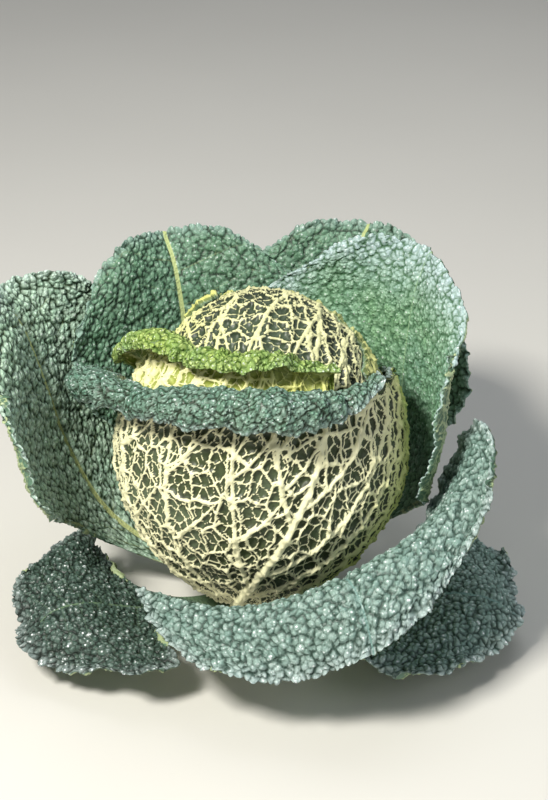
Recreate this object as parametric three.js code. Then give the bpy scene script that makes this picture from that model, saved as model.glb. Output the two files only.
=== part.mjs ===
// Savoy cabbage head, cut from its plant with its wrapper leaves and loose outer leaves left on.
// Millimetres, +Z up. The origin is the centre of the stem's flat cut, and the head's front faces -Y.
// Azimuths run from the front towards +X: 0 is the front, 90 the right, 180 the back.
import * as THREE from 'three';

// The heart: the tight ball of inner leaves
const HEART_RADIUS = 75.5;
const HEART_LEVEL = 118; // height of the ball's widest level above the cut
const CROWN_RISE = 108; // from the widest level up to the crown
const BASE_DROP = 94; // from the widest level down to the ball's point
const CROWN_POWER = 2.1; // 2 is an ellipse, more is blunter
const BASE_POWER = 1.55; // less than 2 tapers towards the stem
const HEART_SIDES = 36;
const HEART_RINGS = 18;

// The stem
const STEM_CUT_RADIUS = 21;
const STEM_TOP_RADIUS = 22.2;
const STEM_TOP = 27.6;
const STEM_CHAMFER = 1.2;
const STEM_SIDES = 32;
const STEM_GAP = 0.4; // to the heart above it

// Every leaf
const BLADE = 1.6; // thickness between the veins
const FAN_POWER = 1.5; // how the side veins bend up towards the margin
const NET_HEIGHT = 0.7; // half the height of the raised net on the head's leaves
const BLISTER_HEIGHT = 1.3; // half the height of the blisters on the loose leaves
const SLOPE_STEP = 1e-3; // in u and v, for working out a leaf's slope

// The head's leaves, from the innermost layer out. base and rim are angles in degrees up from straight down:
// the blade climbs the head from base to rim, and then its edge rolls outwards. The rim is slant higher at
// the right end than at the midrib, and fall lower at both ends. spread is the half-width in degrees at the
// base, and left and right are the widths at the rim. The midrib leans sideways as it climbs, by lean
// degrees. rollRadius is for the left and the right end. rollTurn is how far the edge rolls, in degrees, left
// and right of the stretch of u in rollRamp. A leaf that arches goes over the crown.
const HEAD_LEAVES = [
  {
    name: 'crown_leaf', layer: 1, arches: true, azimuth: 172, lean: -26,
    base: 19, rim: 232, slant: 0, fall: 0, spread: 30, left: 66, right: 96,
    fan: 0.2, rib: 1, rollRadius: null,
  },
  {
    name: 'right_wrapper_leaf', layer: 2, arches: false, azimuth: 148, lean: 8,
    base: 19, rim: 148, slant: 10, fall: 0, spread: 52, left: 80, right: 80,
    fan: 0.34, rib: 1.3, rollRadius: null,
  },
  {
    name: 'left_wrapper_leaf', layer: 3, arches: false, azimuth: 285, lean: 20,
    base: 18, rim: 147, slant: 17, fall: 23, spread: 56, left: 78, right: 94,
    fan: 0.34, rib: 1, rollRadius: [10, 6], rollTurn: [215, 90], rollRamp: [0.3, 1],
  },
  {
    name: 'front_wrapper_leaf', layer: 4, arches: false, azimuth: 335, lean: 56,
    base: 17, rim: 135, slant: -3, fall: 19, spread: 64, left: 126, right: 84,
    fan: 0.34, rib: 3.2, rollRadius: [15, 5], rollTurn: [235, 25], rollRamp: [-0.1, 0.6],
  },
];
const FIRST_LAYER = 4.4; // from the heart to the middle of its innermost leaf
const LAYER_GAP = 4.8; // from one leaf of the head to the next
const RIM_WAVE = 2; // degrees
const RIM_WAVE_RATE = 5;
const ROLL_WAVES = [[9, 0.16], [17, 0.1]]; // how the roll's radius swells and shrinks across the leaf
const HEAD_LEAF_ROWS = 12; // up the head
const ROLL_ROWS = 6; // round the rolled edge
const HEAD_LEAF_COLUMNS = 16;
const CLIMB_SHARE = HEAD_LEAF_ROWS / (HEAD_LEAF_ROWS + ROLL_ROWS);
const HEAD_RIB_WIDTH = 0.12; // half, as a share of the leaf's half-width
const HEAD_RIB_TAPER = 0.75; // how much of its height the midrib loses on its way to the rim

// The loose leaves, from the inner ones out. spine is [distance from the axis, height] along the midrib, and
// full is where along it the blade has its full halfWidth. The right margin stands tilt higher and swing
// further out than the midrib, and the left margin as much lower and further in. Both margins droop.
const OUTER_LEAVES = [
  {
    name: 'outer_leaf_back_right', azimuth: 124, halfWidth: 112, full: 0.44,
    tilt: 4, swing: 0, droop: 0, ruffle: 5, phase: 0.3,
    spine: [[22.8, 24], [60, 34], [97, 64], [111, 110], [115, 162], [121, 206], [132, 230]],
  },
  {
    name: 'outer_leaf_back_left', azimuth: 204, halfWidth: 98, full: 0.54,
    tilt: 0, swing: 0, droop: 0, ruffle: 5, phase: 1.7,
    spine: [[22.8, 21], [62, 29], [104, 60], [125, 106], [135, 152], [150, 192], [168, 210]],
  },
  {
    name: 'outer_leaf_left', azimuth: 250, halfWidth: 112, full: 0.54,
    tilt: 0, swing: 0, droop: 4, ruffle: 6, phase: 2.9,
    spine: [[22.8, 17], [64, 22], [112, 48], [140, 94], [154, 142], [168, 184], [184, 208]],
  },
  {
    name: 'outer_leaf_front_right', azimuth: 24, halfWidth: 138, full: 0.54,
    tilt: 48, swing: 14, droop: 0, ruffle: 5, phase: 4.2,
    spine: [[22.8, 16], [62, 21], [96, 46], [110, 80], [126, 102], [147, 96], [163, 74]],
  },
  {
    name: 'outer_leaf_right', azimuth: 72, halfWidth: 92, full: 0.54,
    tilt: 0, swing: 0, droop: 8, ruffle: 6, phase: 5.1,
    spine: [[22.8, 11], [62, 13], [100, 24], [130, 36], [156, 36], [176, 24]],
  },
  {
    name: 'outer_leaf_back', azimuth: 158, halfWidth: 108, full: 0.54,
    tilt: 0, swing: 0, droop: 4, ruffle: 6, phase: 0.9,
    spine: [[22.8, 12], [66, 16], [112, 42], [143, 88], [160, 136], [176, 178], [196, 204]],
  },
  {
    name: 'outer_leaf_front_left', azimuth: 296, halfWidth: 84, full: 0.54,
    tilt: 0, swing: 0, droop: 8, ruffle: 6, phase: 3.6,
    spine: [[22.8, 10], [62, 14], [98, 28], [126, 40], [150, 40], [172, 24]],
  },
];
const OUTER_ROWS = 14;
const OUTER_COLUMNS = 14;
const OUTER_FAN = 0.22;
const PETIOLE_END = 0.06; // where along the leaf its blade starts
const PETIOLE_HALF_WIDTH = 9;
const PETIOLE_HEIGHT = 7;
const RIB_NARROWING = 0.6; // how much of its width the midrib loses on its way to the tip
const RIB_TAPER = 0.85; // and of its height
const TIP_START = 0.72; // where along the leaf it narrows towards the tip
const TIP_NARROWING = 0.36;
const TIP_ROUNDING = 0.16;
const RUFFLE_WAVES = 2.5; // along each side margin
const RUFFLE_POWER = 2.2; // more keeps the ruffles closer to the margin
const RUFFLE_SHIFT = 2; // between the two side margins, in radians
const RUFFLE_FADE = 0.6; // how much of their depth the side ruffles lose on their way to the tip
const TIP_RUFFLE_RATE = 6;
const TIP_RUFFLE_POWER = 3;

// The stretch of a loose leaf, from 0 at the stem to 1 at the tip, over which each of these comes in
const FAN_RAMP = [0, 0.3];
const TILT_RAMP = [0.2, 0.8];
const RUFFLE_RAMP = [0.2, 0.6];
const BLISTER_RAMP = [0.15, 0.4];

const { clamp, lerp } = THREE.MathUtils;
const degrees = THREE.MathUtils.degToRad;
const smooth = THREE.MathUtils.smoothstep;
const CENTRE = new THREE.Vector3(0, 0, HEART_LEVEL);

const MATERIALS = {
  heart: leafMaterial(0xd3dca0),
  headLeaf: leafMaterial(0xc9d493),
  outerLeaf: leafMaterial(0x6f9583),
  stem: leafMaterial(0xd9dcae),
};

function leafMaterial(color) {
  return new THREE.MeshStandardMaterial({ color, roughness: 0.55, metalness: 0 });
}

// Distance from the heart's centre to its surface, at an angle from straight down.
function heartReach(fromDown) {
  const below = Math.cos(fromDown) > 0;
  const power = below ? BASE_POWER : CROWN_POWER;
  const across = Math.abs(Math.sin(fromDown)) / HEART_RADIUS;
  const along = Math.abs(Math.cos(fromDown)) / (below ? BASE_DROP : CROWN_RISE);
  return Math.pow(Math.pow(across, power) + Math.pow(along, power), -1 / power);
}

function headDirection(azimuth, fromDown) {
  const level = Math.sin(fromDown);
  return new THREE.Vector3(level * Math.sin(azimuth), -level * Math.cos(azimuth), -Math.cos(fromDown));
}

// A direction on a leaf that arches over the crown, at an angle to the side of its midrib.
function archDirection(azimuth, fromDown, aside) {
  const sideways = new THREE.Vector3(Math.cos(azimuth), Math.sin(azimuth), 0);
  return headDirection(azimuth, fromDown)
    .multiplyScalar(Math.cos(aside))
    .addScaledVector(sideways, Math.sin(aside));
}

// A point on a head leaf before its edge rolls; u runs across from -1 to 1, climb from base to rim.
function climbPoint(leaf, u, climb) {
  const share = climb + leaf.fan * (1 - climb) * Math.pow(Math.abs(u), FAN_POWER);
  const wave = RIM_WAVE * Math.sin(RIM_WAVE_RATE * u + leaf.layer);
  const rim = leaf.rim + leaf.slant * u - leaf.fall * u * u + wave;
  const fromDown = degrees(lerp(leaf.base, rim, share));
  const rimSpread = u < 0 ? leaf.left : leaf.right;
  const halfSpread = lerp(leaf.spread, rimSpread, Math.sin(climb * Math.PI / 2));
  const aside = degrees(u * halfSpread + leaf.lean * climb);
  const direction = leaf.arches
    ? archDirection(degrees(leaf.azimuth), fromDown, aside)
    : headDirection(degrees(leaf.azimuth) + aside, fromDown);
  const reach = heartReach(Math.acos(-direction.z)) + FIRST_LAYER + (leaf.layer - 1) * LAYER_GAP;
  return CENTRE.clone().addScaledVector(direction, reach);
}

// A point on a head leaf, with its rolled edge.
function headLeafPoint(leaf, u, v) {
  if (!leaf.rollRadius) return climbPoint(leaf, u, v);
  if (v <= CLIMB_SHARE) return climbPoint(leaf, u, v / CLIMB_SHARE);
  const edge = climbPoint(leaf, u, 1);
  const upwards = edge.clone().sub(climbPoint(leaf, u, 1 - SLOPE_STEP)).normalize();
  const across = climbPoint(leaf, u + SLOPE_STEP, 1).sub(climbPoint(leaf, u - SLOPE_STEP, 1));
  const outwards = across.cross(upwards).normalize();
  const swell = ROLL_WAVES.reduce((sum, [rate, depth]) => sum + depth * Math.sin(rate * u + leaf.layer), 1);
  const radius = swell * lerp(...leaf.rollRadius, (u + 1) / 2);
  const wholeTurn = lerp(...leaf.rollTurn, smooth(u, ...leaf.rollRamp));
  const turn = degrees(wholeTurn) * (v - CLIMB_SHARE) / (1 - CLIMB_SHARE);
  return edge
    .addScaledVector(upwards, radius * Math.sin(turn))
    .addScaledVector(outwards, radius * (1 - Math.cos(turn)));
}

// Half the width of a loose leaf along its length: a bare petiole, then a broad round blade.
function outerHalfWidth(leaf, v) {
  const blade = smooth(v, PETIOLE_END, leaf.full) * (1 - TIP_NARROWING * smooth(v, TIP_START, 1));
  return lerp(PETIOLE_HALF_WIDTH, leaf.halfWidth, blade);
}

// How far along the midrib a point lies level with: the side veins fan up, and the tip is round.
function outerAlong(u, v) {
  const fan = OUTER_FAN * (1 - v) * Math.pow(Math.abs(u), FAN_POWER) * smooth(v, ...FAN_RAMP);
  return clamp(v + fan - TIP_ROUNDING * v * v * u * u, 0, 1);
}

// A point on a loose leaf before its margin is ruffled.
function outerBasePoint(leaf, u, v) {
  const spine = leaf.curve.getPoint(outerAlong(u, v));
  const azimuth = degrees(leaf.azimuth) + u * outerHalfWidth(leaf, v) / spine.x;
  const tiltShare = smooth(v, ...TILT_RAMP);
  const height = spine.y + (leaf.tilt * u - leaf.droop * u * u) * tiltShare;
  const distance = spine.x + leaf.swing * u * tiltShare;
  return new THREE.Vector3(distance * Math.sin(azimuth), -distance * Math.cos(azimuth), height);
}

function ruffle(leaf, u, v) {
  const turn = RUFFLE_WAVES * 2 * Math.PI * v + leaf.phase + RUFFLE_SHIFT * Math.sign(u);
  const depth = Math.pow(Math.abs(u), RUFFLE_POWER) * smooth(v, ...RUFFLE_RAMP) * (1 - RUFFLE_FADE * v);
  const tip = Math.pow(v, TIP_RUFFLE_POWER) * Math.sin(TIP_RUFFLE_RATE * u + leaf.phase);
  return leaf.ruffle * (depth * Math.sin(turn) + tip);
}

function outerLeafPoint(leaf, u, v) {
  const inside = clamp(v, SLOPE_STEP, 1 - SLOPE_STEP);
  const beside = (du, dv) => outerBasePoint(leaf, u + du, inside + dv);
  const across = beside(SLOPE_STEP, 0).sub(beside(-SLOPE_STEP, 0));
  const along = beside(0, SLOPE_STEP).sub(beside(0, -SLOPE_STEP));
  const outwards = across.cross(along).normalize();
  return outerBasePoint(leaf, u, v).addScaledVector(outwards, ruffle(leaf, u, v));
}

// How far the midrib stands out of the back of the blade, at a distance x from its middle.
function ribHeight(x, halfWidth, height) {
  return height * Math.max(0, 1 - (x / halfWidth) ** 2);
}

// A closed thin leaf over a grid of rows by columns. pointAt(u, v) is its middle surface, lift(u, v, onVein)
// moves the whole blade towards its back, and rib(u, v) thickens it there.
function leafGeometry(rows, columns, pointAt, lift, rib) {
  const width = columns + 1;
  const count = (rows + 1) * width;
  const at = (row, column) => row * width + column;
  const middle = [];
  for (let row = 0; row <= rows; row++) {
    for (let column = 0; column <= columns; column++) {
      middle.push(pointAt(2 * column / columns - 1, row / rows));
    }
  }
  const positions = new Float32Array(count * 6);
  for (let row = 0; row <= rows; row++) {
    for (let column = 0; column <= columns; column++) {
      const left = middle[at(row, Math.max(column - 1, 0))];
      const right = middle[at(row, Math.min(column + 1, columns))];
      const below = middle[at(Math.max(row - 1, 0), column)];
      const above = middle[at(Math.min(row + 1, rows), column)];
      const normal = right.clone().sub(left).cross(above.clone().sub(below)).normalize();
      const u = 2 * column / columns - 1;
      const v = row / rows;
      const onVein = row % 2 === 0 || column % 2 === 0;
      const raised = lift(u, v, onVein);
      const here = middle[at(row, column)];
      const back = here.clone().addScaledVector(normal, raised + BLADE / 2 + rib(u, v));
      const front = here.clone().addScaledVector(normal, raised - BLADE / 2);
      back.toArray(positions, at(row, column) * 3);
      front.toArray(positions, (count + at(row, column)) * 3);
    }
  }
  const indices = [];
  const quad = (a, b, c, d) => indices.push(a, b, c, a, c, d);
  for (let row = 0; row < rows; row++) {
    for (let column = 0; column < columns; column++) {
      // Each blister is a fan of triangles round its middle, alike on both faces of the blade.
      const corners = [at(row, column), at(row, column + 1), at(row + 1, column + 1), at(row + 1, column)];
      const [a, b, c, d] = (row + column) % 2 === 0 ? corners : [...corners.slice(1), corners[0]];
      quad(a, b, c, d);
      indices.push(count + a, count + c, count + b, count + a, count + d, count + c);
    }
  }
  const wall = (from, to) => quad(count + from, count + to, to, from);
  for (let column = 0; column < columns; column++) {
    wall(at(0, column), at(0, column + 1));
    wall(at(rows, column + 1), at(rows, column));
  }
  for (let row = 0; row < rows; row++) {
    wall(at(row + 1, 0), at(row, 0));
    wall(at(row, columns), at(row + 1, columns));
  }
  const geometry = new THREE.BufferGeometry();
  geometry.setAttribute('position', new THREE.BufferAttribute(positions, 3));
  geometry.setIndex(indices);
  geometry.computeVertexNormals();
  return geometry;
}

function makeHeadLeaf(leaf) {
  const rows = HEAD_LEAF_ROWS + (leaf.rollRadius ? ROLL_ROWS : 0);
  const lift = (u, v, onVein) => (onVein ? NET_HEIGHT : -NET_HEIGHT);
  const rib = (u, v) => ribHeight(u, HEAD_RIB_WIDTH, leaf.rib * (1 - HEAD_RIB_TAPER * v));
  const geometry = leafGeometry(rows, HEAD_LEAF_COLUMNS, (u, v) => headLeafPoint(leaf, u, v), lift, rib);
  return named(leaf.name, geometry, MATERIALS.headLeaf);
}

function makeOuterLeaf(leaf) {
  leaf.curve = new THREE.SplineCurve(leaf.spine.map(([r, z]) => new THREE.Vector2(r, z)));
  const lift = (u, v, onVein) => (onVein ? 1 : -1) * BLISTER_HEIGHT * smooth(v, ...BLISTER_RAMP);
  const rib = (u, v) => {
    const ribWidth = PETIOLE_HALF_WIDTH * (1 - RIB_NARROWING * v);
    return ribHeight(u * outerHalfWidth(leaf, v), ribWidth, PETIOLE_HEIGHT * (1 - RIB_TAPER * v));
  };
  const geometry = leafGeometry(OUTER_ROWS, OUTER_COLUMNS, (u, v) => outerLeafPoint(leaf, u, v), lift, rib);
  return named(leaf.name, geometry, MATERIALS.outerLeaf);
}

// The ball of inner leaves, flattened below where it sits on the stem.
function makeHeart() {
  const geometry = new THREE.SphereGeometry(1, HEART_SIDES, HEART_RINGS).rotateX(Math.PI / 2);
  const position = geometry.getAttribute('position');
  const point = new THREE.Vector3();
  for (let i = 0; i < position.count; i++) {
    point.fromBufferAttribute(position, i).normalize();
    const reach = heartReach(Math.acos(clamp(-point.z, -1, 1)));
    point.multiplyScalar(reach).add(CENTRE);
    point.z = Math.max(point.z, STEM_TOP + STEM_GAP);
    position.setXYZ(i, point.x, point.y, point.z);
  }
  geometry.computeVertexNormals();
  return named('heart', geometry, MATERIALS.heart);
}

function makeStem() {
  const profile = [
    [0, 0],
    [STEM_CUT_RADIUS - STEM_CHAMFER, 0],
    [STEM_CUT_RADIUS, STEM_CHAMFER],
    [STEM_TOP_RADIUS, STEM_TOP],
    [0, STEM_TOP],
  ].map(([r, z]) => new THREE.Vector2(r, z));
  const geometry = new THREE.LatheGeometry(profile, STEM_SIDES).rotateX(Math.PI / 2);
  return named('stem', geometry, MATERIALS.stem);
}

function named(name, geometry, material) {
  const mesh = new THREE.Mesh(geometry, material);
  mesh.name = name;
  return mesh;
}

const cabbage = new THREE.Group();
cabbage.add(makeStem(), makeHeart(), ...HEAD_LEAVES.map(makeHeadLeaf), ...OUTER_LEAVES.map(makeOuterLeaf));

export default cabbage;
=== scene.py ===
"""Savoy cabbage head: its fine leaves, heart and stem, their materials, the light and the camera.

Tables are in millimetres and degrees. What Blender gets is in metres, +Z up, with the front facing -Y.
"""

import math

import bpy
import numpy as np
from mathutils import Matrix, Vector, kdtree


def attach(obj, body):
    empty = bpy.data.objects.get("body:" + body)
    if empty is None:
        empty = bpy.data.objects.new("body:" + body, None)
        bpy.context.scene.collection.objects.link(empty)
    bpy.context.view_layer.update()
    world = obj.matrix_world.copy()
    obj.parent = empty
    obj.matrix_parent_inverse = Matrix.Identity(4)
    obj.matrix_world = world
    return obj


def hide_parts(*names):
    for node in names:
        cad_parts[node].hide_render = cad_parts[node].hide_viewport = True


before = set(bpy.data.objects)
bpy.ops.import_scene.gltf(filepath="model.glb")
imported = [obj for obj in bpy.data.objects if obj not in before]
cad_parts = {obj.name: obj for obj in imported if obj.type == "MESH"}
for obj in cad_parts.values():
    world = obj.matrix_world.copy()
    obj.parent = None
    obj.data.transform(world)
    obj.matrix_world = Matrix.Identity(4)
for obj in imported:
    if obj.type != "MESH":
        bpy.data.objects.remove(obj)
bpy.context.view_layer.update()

MM = 0.001

# The heart: the tight ball of inner leaves
HEART_RADIUS = 75.5
HEART_LEVEL = 118
CROWN_RISE = 108
BASE_DROP = 94
CROWN_POWER = 2.1
BASE_POWER = 1.55
CENTRE = np.array([0, 0, HEART_LEVEL])

# The stem
STEM_CUT_RADIUS = 21
STEM_TOP_RADIUS = 22.2
STEM_TOP = 27.6
STEM_CHAMFER = 1.2
STEM_GAP = 0.4

# The head's leaves, from the outermost layer in
HEAD_LEAVES = {
    "front_wrapper_leaf": dict(
        layer=4, arches=False, azimuth=335, lean=56, base=17, rim=135, slant=-3, fall=19,
        spread=64, left=126, right=84, fan=0.34,
        roll=dict(radius=(15, 5), turn=(235, 25), ramp=(-0.1, 0.6))),
    "left_wrapper_leaf": dict(
        layer=3, arches=False, azimuth=285, lean=20, base=18, rim=147, slant=17, fall=23,
        spread=56, left=78, right=94, fan=0.34,
        roll=dict(radius=(10, 6), turn=(215, 175), ramp=(0.3, 1))),
    "right_wrapper_leaf": dict(
        layer=2, arches=False, azimuth=148, lean=8, base=19, rim=148, slant=10, fall=0,
        spread=52, left=80, right=80, fan=0.34, roll=None),
    "crown_leaf": dict(
        layer=1, arches=True, azimuth=172, lean=-26, base=19, rim=232, slant=0, fall=0,
        spread=30, left=66, right=96, fan=0.2, roll=None),
}
FAN_POWER = 1.5
FIRST_LAYER = 4.4
LAYER_GAP = 4.8
RIM_WAVE = 2
RIM_WAVE_RATE = 5
ROLL_WAVES = ((9, 0.16), (17, 0.1))
CLIMB_SHARE = 12 / 18
SLOPE_STEP = 1e-3

# The loose leaves
OUTER_LEAVES = {
    "outer_leaf_back_right": dict(
        azimuth=124, half_width=112, full=0.44, tilt=4, swing=0, droop=0, ruffle=5, phase=0.3,
        spine=((22.8, 24), (60, 34), (97, 64), (111, 110), (115, 162), (121, 206), (132, 230))),
    "outer_leaf_back_left": dict(
        azimuth=204, half_width=98, full=0.54, tilt=0, swing=0, droop=0, ruffle=5, phase=1.7,
        spine=((22.8, 21), (62, 29), (104, 60), (125, 106), (135, 152), (150, 192), (168, 210))),
    "outer_leaf_left": dict(
        azimuth=250, half_width=112, full=0.54, tilt=0, swing=0, droop=4, ruffle=6, phase=2.9,
        spine=((22.8, 17), (64, 22), (112, 48), (140, 94), (154, 142), (168, 184), (184, 208))),
    "outer_leaf_front_right": dict(
        azimuth=24, half_width=138, full=0.54, tilt=48, swing=14, droop=0, ruffle=5, phase=4.2,
        spine=((22.8, 16), (62, 21), (96, 46), (110, 80), (126, 102), (147, 96), (163, 74))),
    "outer_leaf_right": dict(
        azimuth=72, half_width=92, full=0.54, tilt=0, swing=0, droop=8, ruffle=6, phase=5.1,
        spine=((22.8, 11), (62, 13), (100, 24), (130, 36), (156, 36), (176, 24))),
    "outer_leaf_back": dict(
        azimuth=158, half_width=108, full=0.54, tilt=0, swing=0, droop=4, ruffle=6, phase=0.9,
        spine=((22.8, 12), (66, 16), (112, 42), (143, 88), (160, 136), (176, 178), (196, 204))),
    "outer_leaf_front_left": dict(
        azimuth=296, half_width=84, full=0.54, tilt=0, swing=0, droop=8, ruffle=6, phase=3.6,
        spine=((22.8, 10), (62, 14), (98, 28), (126, 40), (150, 40), (172, 24))),
}
OUTER_FAN = 0.22
PETIOLE_END = 0.06
PETIOLE_HALF_WIDTH = 9
PETIOLE_HEIGHT = 7
RIB_NARROWING = 0.6
RIB_TAPER = 0.85
TIP_START = 0.72
TIP_NARROWING = 0.36
TIP_ROUNDING = 0.16
RUFFLE_WAVES = 2.5
RUFFLE_POWER = 2.2
RUFFLE_SHIFT = 2
RUFFLE_FADE = 0.6
TIP_RUFFLE_RATE = 6
TIP_RUFFLE_POWER = 3


# Small maths

def smooth(x, low, high):
    share = np.clip((x - low) / (high - low), 0, 1)
    return share * share * (3 - 2 * share)


def lerp(start, end, share):
    return start + (end - start) * share


def unit(vectors):
    return vectors / np.maximum(np.linalg.norm(vectors, axis=-1, keepdims=True), 1e-12)


def stack(x, y, z):
    return np.stack(np.broadcast_arrays(x, y, z), axis=-1)


def noise(x, y, seed):
    """Smooth noise from -1 to 1, with one bump in each unit square."""
    table = np.random.default_rng(seed).uniform(-1, 1, (64, 64))
    column = np.floor(x).astype(int)
    row = np.floor(y).astype(int)
    across = smooth(x - column, 0, 1)
    up = smooth(y - row, 0, 1)

    def corner(dx, dy):
        return table[(row + dy) % 64, (column + dx) % 64]

    low = lerp(corner(0, 0), corner(1, 0), across)
    high = lerp(corner(0, 1), corner(1, 1), across)
    return lerp(low, high, up)


# The forms of the leaves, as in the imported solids

def heart_reach(from_down):
    below = np.cos(from_down) > 0
    power = np.where(below, BASE_POWER, CROWN_POWER)
    across = np.abs(np.sin(from_down)) / HEART_RADIUS
    along = np.abs(np.cos(from_down)) / np.where(below, BASE_DROP, CROWN_RISE)
    return (across ** power + along ** power) ** (-1 / power)


def head_direction(azimuth, from_down):
    level = np.sin(from_down)
    return stack(level * np.sin(azimuth), -level * np.cos(azimuth), -np.cos(from_down))


def climb_point(leaf, u, climb):
    """A point on a head leaf before its edge rolls; u runs across from -1 to 1, climb from base to rim."""
    share = climb + leaf["fan"] * (1 - climb) * np.abs(u) ** FAN_POWER
    wave = RIM_WAVE * np.sin(RIM_WAVE_RATE * u + leaf["layer"])
    rim = leaf["rim"] + leaf["slant"] * u - leaf["fall"] * u * u + wave
    from_down = np.radians(lerp(leaf["base"], rim, share))
    rim_spread = np.where(u < 0, leaf["left"], leaf["right"])
    half_spread = lerp(leaf["spread"], rim_spread, np.sin(climb * math.pi / 2))
    aside = np.radians(u * half_spread + leaf["lean"] * climb)
    azimuth = math.radians(leaf["azimuth"])
    if leaf["arches"]:
        sideways = np.array([math.cos(azimuth), math.sin(azimuth), 0])
        direction = head_direction(azimuth, from_down) * np.cos(aside)[..., None]
        direction = direction + sideways * np.sin(aside)[..., None]
    else:
        direction = head_direction(azimuth + aside, from_down)
    turned = np.arccos(np.clip(-direction[..., 2], -1, 1))
    reach = heart_reach(turned) + FIRST_LAYER + (leaf["layer"] - 1) * LAYER_GAP
    return CENTRE + direction * reach[..., None]


def head_leaf_point(leaf, u, v):
    """A point on a head leaf, with its rolled edge."""
    roll = leaf["roll"]
    if roll is None:
        return climb_point(leaf, u, v)
    climb = np.minimum(v / CLIMB_SHARE, 1)
    edge = climb_point(leaf, u, np.ones_like(u))
    upwards = unit(edge - climb_point(leaf, u, np.full_like(u, 1 - SLOPE_STEP)))
    right = climb_point(leaf, u + SLOPE_STEP, np.ones_like(u))
    left = climb_point(leaf, u - SLOPE_STEP, np.ones_like(u))
    outwards = unit(np.cross(right - left, upwards))
    swell = 1 + sum(depth * np.sin(rate * u + leaf["layer"]) for rate, depth in ROLL_WAVES)
    radius = (swell * lerp(*roll["radius"], (u + 1) / 2))[..., None]
    whole_turn = np.radians(lerp(*roll["turn"], smooth(u, *roll["ramp"])))
    turn = (whole_turn * (v - CLIMB_SHARE) / (1 - CLIMB_SHARE))[..., None]
    rolled = edge + upwards * radius * np.sin(turn) + outwards * radius * (1 - np.cos(turn))
    return np.where((v > CLIMB_SHARE)[..., None], rolled, climb_point(leaf, u, climb))


def spline(points, share):
    """A point on a smooth curve through points, as (distance, height)."""
    points = np.array(points, float)
    last = len(points) - 1
    place = share * last
    here = np.minimum(np.floor(place).astype(int), last)
    step = (place - here)[..., None]
    before = points[np.maximum(here - 1, 0)]
    start = points[here]
    end = points[np.minimum(here + 1, last)]
    after = points[np.minimum(here + 2, last)]
    leave = (end - before) / 2
    arrive = (after - start) / 2
    cubic = (2 * start - 2 * end + leave + arrive) * step ** 3
    square = (-3 * start + 3 * end - 2 * leave - arrive) * step ** 2
    return cubic + square + leave * step + start


def outer_half_width(leaf, v):
    blade = smooth(v, PETIOLE_END, leaf["full"]) * (1 - TIP_NARROWING * smooth(v, TIP_START, 1))
    return lerp(PETIOLE_HALF_WIDTH, leaf["half_width"], blade)


def outer_base_point(leaf, u, v):
    """A point on a loose leaf before its margin is ruffled."""
    fan = OUTER_FAN * (1 - v) * np.abs(u) ** FAN_POWER * smooth(v, 0, 0.3)
    spine = spline(leaf["spine"], np.clip(v + fan - TIP_ROUNDING * v * v * u * u, 0, 1))
    azimuth = math.radians(leaf["azimuth"]) + u * outer_half_width(leaf, v) / spine[..., 0]
    tilt_share = smooth(v, 0.2, 0.8)
    height = spine[..., 1] + (leaf["tilt"] * u - leaf["droop"] * u * u) * tilt_share
    distance = spine[..., 0] + leaf["swing"] * u * tilt_share
    return stack(distance * np.sin(azimuth), -distance * np.cos(azimuth), height)


def outer_leaf_point(leaf, u, v):
    inside = np.clip(v, SLOPE_STEP, 1 - SLOPE_STEP)
    right = outer_base_point(leaf, u + SLOPE_STEP, inside)
    left = outer_base_point(leaf, u - SLOPE_STEP, inside)
    above = outer_base_point(leaf, u, inside + SLOPE_STEP)
    below = outer_base_point(leaf, u, inside - SLOPE_STEP)
    outwards = unit(np.cross(right - left, above - below))
    turn = RUFFLE_WAVES * 2 * math.pi * v + leaf["phase"] + RUFFLE_SHIFT * np.sign(u)
    depth = np.abs(u) ** RUFFLE_POWER * smooth(v, 0.2, 0.6) * (1 - RUFFLE_FADE * v)
    tip = v ** TIP_RUFFLE_POWER * np.sin(TIP_RUFFLE_RATE * u + leaf["phase"])
    ruffle = leaf["ruffle"] * (depth * np.sin(turn) + tip)
    return outer_base_point(leaf, u, v) + outwards * ruffle[..., None]


# Fine surfaces

class Sheet:
    """A leaf's middle surface on a fine grid, with lengths along it in millimetres."""

    def __init__(self, point_at, rows, columns):
        self.point_at = point_at
        self.v, self.u = np.meshgrid(rows, columns, indexing="ij")
        self.middle = point_at(self.u, self.v)
        across = np.gradient(self.middle, axis=1)
        along = np.gradient(self.middle, axis=0)
        self.across = unit(across)
        self.along = unit(along)
        self.normal = unit(np.cross(across, along))
        widths = np.linalg.norm(np.diff(self.middle, axis=1), axis=2)
        self.s = np.pad(np.cumsum(widths, axis=1), ((0, 0), (1, 0)))
        self.from_left = self.s
        self.from_right = self.s[:, -1:] - self.s
        midrib = np.argmin(np.abs(columns))
        self.s = self.s - self.s[:, midrib:midrib + 1]
        lengths = np.linalg.norm(np.diff(self.middle, axis=0), axis=2)
        self.t = np.pad(np.cumsum(lengths, axis=0), ((1, 0), (0, 0)))
        self.to_tip = self.t[-1:] - self.t
        self.shape = self.u.shape


def nearest(tree, points):
    """Index of and distance to the nearest point in a tree, for each of many points."""
    found = [tree.find(point)[1:] for point in points]
    return np.array([f[0] for f in found]), np.array([f[1] for f in found])


def tree_of(points):
    tree = kdtree.KDTree(len(points))
    for index, point in enumerate(points):
        tree.insert(point, index)
    tree.balance()
    return tree


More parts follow.
